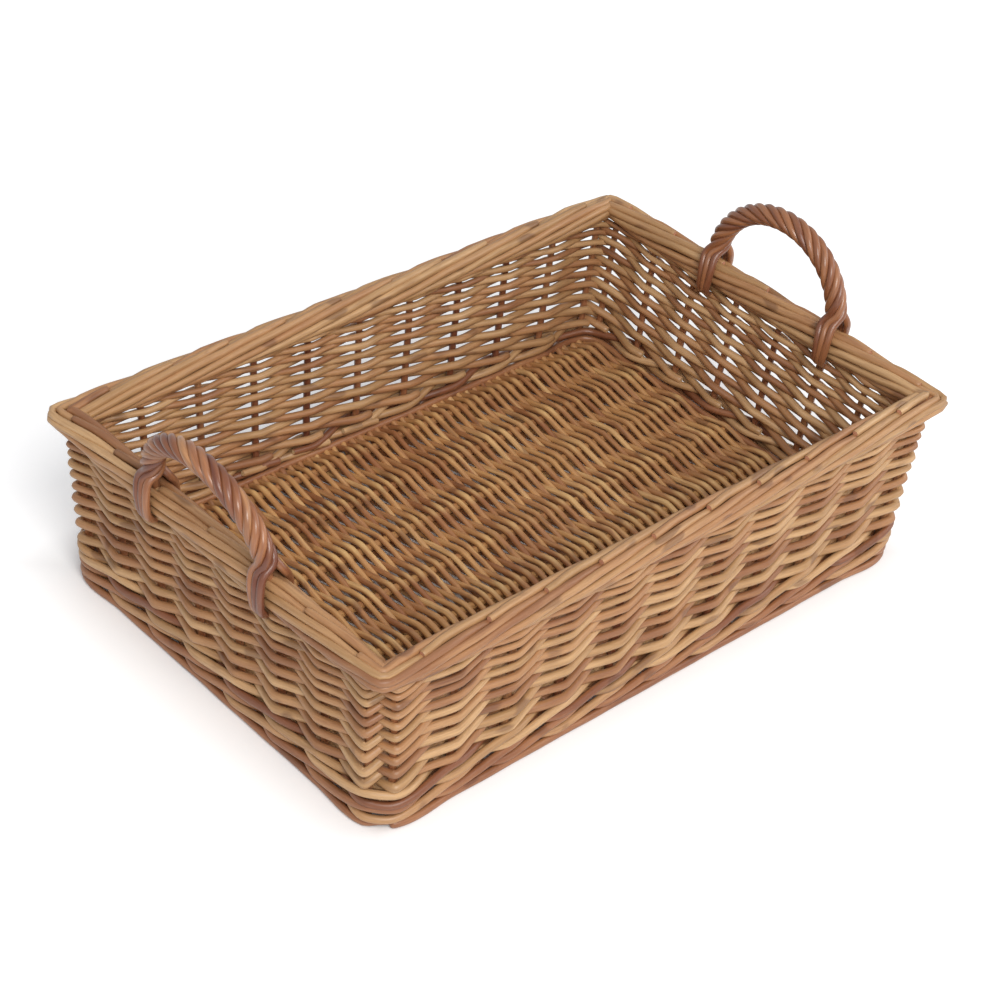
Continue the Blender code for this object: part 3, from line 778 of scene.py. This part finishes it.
def make_border():
    """A bundle of rods that all wind slowly round its middle: each starts with a cut end on top,
    goes down the inside, comes out underneath and rises outside until the next ones cover it.

    At an angle a, a rod lies across x cos a outward and upright x sin a above the middle line. The
    bundle is flatter and a little higher at the corners.
    """
    line, place, corners = border_middle()
    total = place[-1]
    spacing = total / BORDER_RODS
    pitch = spacing * BORDER_STRANDS
    places = np.linspace(0, 1, BORDER_POINTS)[None, :] * pitch * BORDER_TURNS
    starts = (np.arange(BORDER_RODS) * spacing + BORDER_START)[:, None]
    starts = starts + chance.normal(0, BORDER_START_CHANCE, (BORDER_RODS, 1))
    travelled = (starts + places) % total
    middle = on_border(line, place, travelled)
    ahead = on_border(line, place, travelled + BORDER_AHEAD)
    along = unit(ahead - on_border(line, place, travelled - BORDER_AHEAD))
    out = np.stack([along[..., 1], -along[..., 0], np.zeros(along.shape[:2])], axis=-1)

    past = (travelled[..., None] - corners + total / 2) % total - total / 2
    by_corner = np.exp(-((past / CORNER_REACH) ** 2))
    cornering = by_corner.sum(axis=-1)
    turn = np.radians(BORDER_START_ANGLE) + 2 * np.pi * places / pitch
    tuck = np.clip((places - pitch * TUCK_FROM) / (pitch * TUCK_OVER), 0, 1)
    spread = BORDER_SPREAD - TUCK_DEPTH * tuck
    across = BORDER_ACROSS * fuller(np.cos(turn)) * spread * (1 - by_corner @ CORNER_NARROW)
    rise = BORDER_UPRIGHT * fuller(np.sin(turn)) * spread * (1 - CORNER_FLATTEN * cornering)
    lines = middle + out * across[..., None] + UP * (rise + CORNER_LIFT * cornering)[..., None]
    lines = wandering(lines, BORDER_WANDER)
    looks = (buff, red_cut)
    made = rods("border_rods", lines, border_radii(places), looks, THICK_SIDES)

    core = np.concatenate([line, line[1:2]])[None, ::BORDER_CORE_EVERY]
    core_radii = np.full(core.shape[:2], BORDER_CORE_RADIUS)
    rods("border_core", core, core_radii, (dark, pale_cut))
    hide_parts("front_border", "right_border", "rear_border", "left_border")


# Handles

BOW_RADIUS = 0.0668
BOW_CENTRE_HEIGHT = 0.167
BOW_LEANS_ABOVE = 0.150
BOW_ROD_RADIUS = 0.0032
BOW_POINTS = 40

# A bow's legs: their heights, and how far from the wall's middle the lower two of these lie
LEG_HEIGHTS = (0.060, 0.110, 0.150)
LEG_PLACE = 0.0746

STRANDS = 6
ROPE_SIDES = 12
STRAND_RADIUS = 0.0031
STRAND_POINTS = 91
STRAND_SAMPLES = 8
FIRST_STRAND_ANGLE = 30
LAY_RADIUS = 0.0062
LAY_TURNS = 3
LAY_CUT = 0.05

# A strand's tip: its width as a share, and over how many points it narrows
STRAND_TIP_WIDTH = 0.72
STRAND_TIP_POINTS = 14

# A strand below the arch, from the top down: its height, how far outside or inside the wall it
# lies, how widely the three on that face spread, and how far they sway
STRAND_STEPS = (
    (0.1670, 0.0092, 0.0066, 0.0000),
    (0.1570, 0.0140, 0.0062, 0.0020),
    (0.1470, 0.0154, 0.0052, 0.0030),
    (0.1380, 0.0138, 0.0044, 0.0024),
    (0.1315, 0.0088, 0.0034, 0.0012),
    (0.1285, 0.0040, 0.0028, 0.0004),
)


def on_short_wall(side, heights, outward, sideways):
    """Points by a short wall: side is 1 at the right and -1 at the left, as seen from the front."""
    depth = GROUND_HALF[0] + (BORDER_HALF[0] - GROUND_HALF[0]) * heights / BORDER_MIDDLE
    return np.stack([side * (depth + outward), side * sideways, heights], axis=-1)


def arch(side, share, height, centre, lean, outward=0.0, inward=0.0):
    """Points on a handle's arch, moved outward from the wall and inward to the arch's centre.

    lean is how far the arch leans outward more than the wall does, as a share of its height.
    """
    angle = np.pi * share
    heights = BOW_CENTRE_HEIGHT + (height - inward) * np.sin(angle)
    sideways = centre - (BOW_RADIUS - inward) * np.cos(angle)
    return on_short_wall(side, heights, outward + lean * (heights - BOW_LEANS_ABOVE), sideways)


def strand_feet(side, foot, phase, middle, lean):
    """Knots of all strands below a foot of the arch, three outside the wall and three inside."""
    face = np.sign(np.sin(phase))
    knots = []
    for high, out, wide, sway in STRAND_STEPS:
        sideways = middle + foot * (BOW_RADIUS + wide * np.cos(phase)) + face * sway
        outward = face * out + lean * max(high - BOW_LEANS_ABOVE, 0.0)
        knots.append(on_short_wall(side, np.full((STRANDS, 1), high), outward, sideways))
    return np.concatenate(knots, axis=1)


def rope_lines(side, height, middle, lean):
    """Six strands over an arch: each is a helix round the arch's middle line.

    At a foot three strands run down the border's outer face and three down its inner face. Those
    outside sway one way and those inside the other, and each three draw together as they tuck
    under the border.
    """
    share = np.linspace(LAY_CUT, 1 - LAY_CUT, STRAND_POINTS)[None, :]
    phase = np.radians(np.arange(STRANDS) * 360 / STRANDS + FIRST_STRAND_ANGLE)[:, None]
    angle = phase + 2 * np.pi * LAY_TURNS * share
    outward = LAY_RADIUS * np.sin(angle)
    inward = -LAY_RADIUS * np.cos(angle)
    winding = arch(side, share, height, middle, lean, outward, inward)
    runs = []
    for foot, ends in ((-1, winding[:, 1::-1]), (1, winding[:, -2:])):
        knots = np.concatenate([ends, strand_feet(side, foot, phase, middle, lean)], axis=1)
        runs.append(through(knots, STRAND_SAMPLES)[:, STRAND_SAMPLES + 1 :])
    return np.concatenate([runs[0][:, ::-1], winding, runs[1]], axis=1)


def bow_line(side, height, middle, lean):
    """The bow inside the rope: an arch on two legs that go down beside posts."""
    heights = np.array([LEG_HEIGHTS])
    legs = []
    for foot in (-1, 1):
        places = np.array([[LEG_PLACE * foot, LEG_PLACE * foot, BOW_RADIUS * foot + middle]])
        legs.append(on_short_wall(side, heights, 0.0, places))
    over = arch(side, np.linspace(0.0, 1.0, BOW_POINTS)[None, :], height, middle, lean)
    return np.concatenate([legs[0], over, legs[1][:, ::-1]], axis=1)


def make_handle(side, word, height, middle, lean):
    """A rope and the bow that it hides: height is the arch's own and middle its place sideways."""
    reference = np.array((float(side), 0.0, 0.0))
    looks = (dark, pale_cut)
    lines = rope_lines(side, height, middle, lean)
    order = np.arange(lines.shape[1])
    fade = np.clip(np.minimum(order, order[::-1]) / STRAND_TIP_POINTS, 0, 1)
    width = STRAND_TIP_WIDTH + (1 - STRAND_TIP_WIDTH) * fade
    radii = np.full(lines.shape[:2], STRAND_RADIUS) * width
    rope = rods(f"{word}_handle_rope", lines, radii, looks, ROPE_SIDES, reference)
    path = bow_line(side, height, middle, lean)
    radii = np.full(path.shape[:2], BOW_ROD_RADIUS)
    core = rods(f"{word}_handle_core", path, radii, looks, reference=reference)
    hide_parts(*[f"{word}_handle_rope_rod_{number}" for number in (1, 2, 3)])
    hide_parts(f"{word}_handle_bow")


# Base

BASE_HEIGHT = 0.0203
BASE_STICKS = 7
BASE_STICK_SPACING = 0.05189
BASE_STICK_RADIUS = 0.0036
BASE_STICK_REACH = 0.272
BASE_STICK_POINTS = 60
BASE_STICK_WANDER = (0.0005, 0.12)
BASE_ROWS = (np.arange(BASE_STICKS) - BASE_STICKS // 2) * BASE_STICK_SPACING

BASE_WEAVERS = 116
BASE_WEAVER_SPACING = 0.00466
BASE_WEAVER_RADIUS = 0.00256
BASE_WEAVER_THICKNESS = (0.88, 1.1)
BASE_WEAVER_CHANCE = 0.0005
BASE_WEAVER_PRESS = 0.9
BASE_WEAVER_HUG = 0.36
BASE_WEAVER_SAMPLES = 10
BASE_WEAVER_WANDER = (0.0003, 0.05)

# A base weaver's ends: their reach past the outer sticks, their rise as a share, and chance
BASE_END_REACH = 0.0195
BASE_END_RISE = 0.25
BASE_FIRST_END_CHANCE = (-0.002, 0.003)
BASE_LAST_END_CHANCE = (-0.003, 0.002)

# The thin rod between the base and the wall
EDGE_HEIGHT = 0.0225
EDGE_INSIDE = 0.0060
EDGE_RADIUS = 0.0031
EDGE_SAMPLES = 8
EDGE_HUG = 0.9
EDGE_WANDER = (0.0003, 0.08)


def make_base_sticks():
    """Seven straight sticks along the basket."""
    along = np.linspace(-BASE_STICK_REACH, BASE_STICK_REACH, BASE_STICK_POINTS)
    x, y = np.meshgrid(along, BASE_ROWS)
    lines = wandering(np.stack([x, y, np.full(x.shape, BASE_HEIGHT)], axis=-1), BASE_STICK_WANDER)
    radii = np.full(x.shape, BASE_STICK_RADIUS)
    made = rods("base_sticks", lines, radii, (golden, pale_cut))
    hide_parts(*[f"base_stick_{number + 1}" for number in range(BASE_STICKS)])


def make_base_weavers():
    """Weavers across the basket that pass over and under the sticks in turn."""
    number = np.arange(BASE_WEAVERS)[:, None]
    places = (number - (BASE_WEAVERS - 1) / 2) * BASE_WEAVER_SPACING
    stops = np.array([BASE_ROWS[0] - BASE_END_REACH, *BASE_ROWS, BASE_ROWS[-1] + BASE_END_REACH])
    order = np.arange(-1, BASE_STICKS + 1)[None, :]
    thickness = chance.uniform(*BASE_WEAVER_THICKNESS, (BASE_WEAVERS, 1))
    radii = BASE_WEAVER_RADIUS * thickness * np.ones(order.shape)
    side = np.where((order + number) % 2 == 0, 1.0, -1.0)
    side[:, [0, -1]] *= BASE_END_RISE
    heights = BASE_HEIGHT + side * (BASE_STICK_RADIUS + radii * BASE_WEAVER_PRESS)
    across = places + chance.normal(0, BASE_WEAVER_CHANCE, heights.shape)
    ends = np.tile(stops, (BASE_WEAVERS, 1))
    ends[:, 0] += chance.uniform(*BASE_FIRST_END_CHANCE, BASE_WEAVERS)
    ends[:, -1] += chance.uniform(*BASE_LAST_END_CHANCE, BASE_WEAVERS)
    knots = np.stack([across, ends, heights], axis=-1)
    tangents = np.broadcast_to(np.array((0.0, BASE_WEAVER_HUG, 0.0)), knots.shape)
    lines = wandering(cubic(knots, tangents, BASE_WEAVER_SAMPLES), BASE_WEAVER_WANDER)
    radii = carried(radii, BASE_WEAVER_SAMPLES)
    made = rods("base_weavers", lines, radii, (golden, pale_cut))
    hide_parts("base_weaver")


def make_base_edge():
    """A thin rod round the base, inside the wall's foot."""
    posts = np.arange(POSTS + 1.0)[None]
    heights = np.full(posts.shape, EDGE_HEIGHT)
    outward = np.full(posts.shape, -EDGE_INSIDE)
    lines = wandering(threaded(posts, heights, outward, EDGE_SAMPLES, EDGE_HUG), EDGE_WANDER)
    radii = np.full(lines.shape[:2], EDGE_RADIUS)
    rods("base_edge_rod", lines, radii, (reddish, pale_cut))


# Studio

FLOOR_REACH = 4.0
FLOOR_BELOW = 0.0004
FLOOR_GRAIN = (60.0, 2.0)
FLOOR_GREYS = (0.93, 0.95)
FLOOR_ROUGHNESS = 0.9
FLOOR_SPECULAR = 0.1

# The floor's glow: it grows over the fade beside the foot, and again from far to three times far
FLOOR_FADE = 0.05
FLOOR_FAR = 0.6
FLOOR_GLOW = 0.26
FLOOR_FAR_GLOW = 0.8

LIGHTS_AIM = (0, 0, 0.05)
KEY_PLACE = (-1.1, -1.9, 2.2)
KEY_COLOUR = (1.0, 0.985, 0.96)
FILL_PLACE = (2.0, -1.2, 1.4)
LIGHT_ALL_ROUND = (0.50, 0.51, 0.53, 1)


def make_floor():
    """White paper, lifted to white for the camera outside the basket's foot, and more far away."""
    mesh = bpy.data.meshes.new("floor")
    corners = [(FLOOR_REACH * x, FLOOR_REACH * y, 0) for x, y in ((-1, -1), (1, -1), (1, 1), (-1, 1))]
    mesh.from_pydata(corners, [], [(0, 1, 2, 3)])
    floor = bpy.data.objects.new("floor", mesh)
    floor.location.z = -FLOOR_BELOW
    bpy.context.scene.collection.objects.link(floor)
    look, tree, shader = new_look("white_paper_floor")
    place = add(tree, "ShaderNodeTexCoord").outputs["Object"]
    greys = [(grey, grey, grey, 1) for grey in FLOOR_GREYS]
    tone = ramp(tree, noise(tree, place, *FLOOR_GRAIN), (0.0, 1.0), greys)
    tree.links.new(tone, shader.inputs["Base Color"])

    parts = add(tree, "ShaderNodeSeparateXYZ", {0: place})
    past = []
    for axis, half in enumerate(GROUND_HALF):
        reach = maths(tree, "ABSOLUTE", parts.outputs[axis])
        past.append(maths(tree, "SUBTRACT", reach, float(half)))
    beyond = maths(tree, "MAXIMUM", *past)
    near_range = {0: beyond, 2: FLOOR_FADE, 4: FLOOR_GLOW}
    far_range = {0: beyond, 1: FLOOR_FAR, 2: 3 * FLOOR_FAR, 4: FLOOR_FAR_GLOW}
    near = add(tree, "ShaderNodeMapRange", near_range).outputs[0]
    far = add(tree, "ShaderNodeMapRange", far_range).outputs[0]
    seen = add(tree, "ShaderNodeLightPath").outputs["Is Camera Ray"]
    glow = maths(tree, "MULTIPLY", seen, maths(tree, "ADD", near, far))
    tree.links.new(glow, shader.inputs["Emission Strength"])
    shader.inputs["Emission Color"].default_value = WHITE
    shader.inputs["Roughness"].default_value = FLOOR_ROUGHNESS
    shader.inputs["Specular IOR Level"].default_value = FLOOR_SPECULAR
    mesh.materials.append(look)


def facing(back, right, place):
    """The matrix of a light or camera at a place: right is to its right, and back is behind it."""
    rows = np.stack([right, np.cross(back, right), back, place], axis=1)
    return Matrix([*rows.tolist(), [0, 0, 0, 1]])


def area_light(name, place, size, power, colour=(1, 1, 1)):
    """A round light at a place, turned to the basket."""
    data = bpy.data.lights.new(name, "AREA")
    data.shape = "DISK"
    data.size = size
    data.energy = power
    data.color = colour
    light = bpy.data.objects.new(name, data)
    bpy.context.scene.collection.objects.link(light)
    back = unit(np.array(place) - np.array(LIGHTS_AIM))
    light.matrix_world = facing(back, unit(np.cross(UP, back)), np.array(place))


def make_world():
    """White behind the object, and soft even light from all round."""
    world = bpy.data.worlds.new("studio")
    bpy.context.scene.world = world
    world.use_nodes = True
    tree = world.node_tree
    back = tree.nodes["Background"]
    seen = add(tree, "ShaderNodeLightPath").outputs["Is Camera Ray"]
    tree.links.new(mixed(tree, seen, LIGHT_ALL_ROUND, WHITE), back.inputs["Color"])
    back.inputs["Strength"].default_value = 1.0


VIEW_LENS = 86.9
VIEW_SENSOR = 36
VIEW_TURN = -46.17
VIEW_RISE = 36.54
VIEW_ROLL = 6.66
VIEW_DISTANCE = 1.915
VIEW_AIM = np.array((-0.0106, -0.0084, 0.0700))


def make_camera():
    """The photograph's view: turned about the upright, raised, and rolled about its own axis."""
    data = bpy.data.cameras.new("photograph_view")
    data.sensor_width = VIEW_SENSOR
    data.lens = VIEW_LENS
    camera = bpy.data.objects.new("photograph_view", data)
    bpy.context.scene.collection.objects.link(camera)
    turn, rise, roll = np.radians((VIEW_TURN, VIEW_RISE, VIEW_ROLL))
    back = np.array((np.sin(turn) * np.cos(rise), -np.cos(turn) * np.cos(rise), np.sin(rise)))
    level = np.array((np.cos(turn), np.sin(turn), 0.0))
    upright = np.cross(back, level)
    right = level * np.cos(roll) + upright * np.sin(roll)
    camera.matrix_world = facing(back, right, VIEW_AIM + back * VIEW_DISTANCE)
    bpy.context.scene.camera = camera


make_stakes()
make_siding()
make_wale()
make_foot()
make_border()
make_handle(1, "right", height=0.0615, middle=-0.0110, lean=-0.08)
make_handle(-1, "left", height=0.0577, middle=-0.0010, lean=0.10)
make_base_sticks()
make_base_weavers()
make_base_edge()

make_floor()
area_light("key_over_left_shoulder", KEY_PLACE, size=1.6, power=64, colour=KEY_COLOUR)
area_light("fill_from_right", FILL_PLACE, size=1.8, power=18)
make_world()
make_camera()
bpy.context.scene.view_settings.view_transform = "Standard"
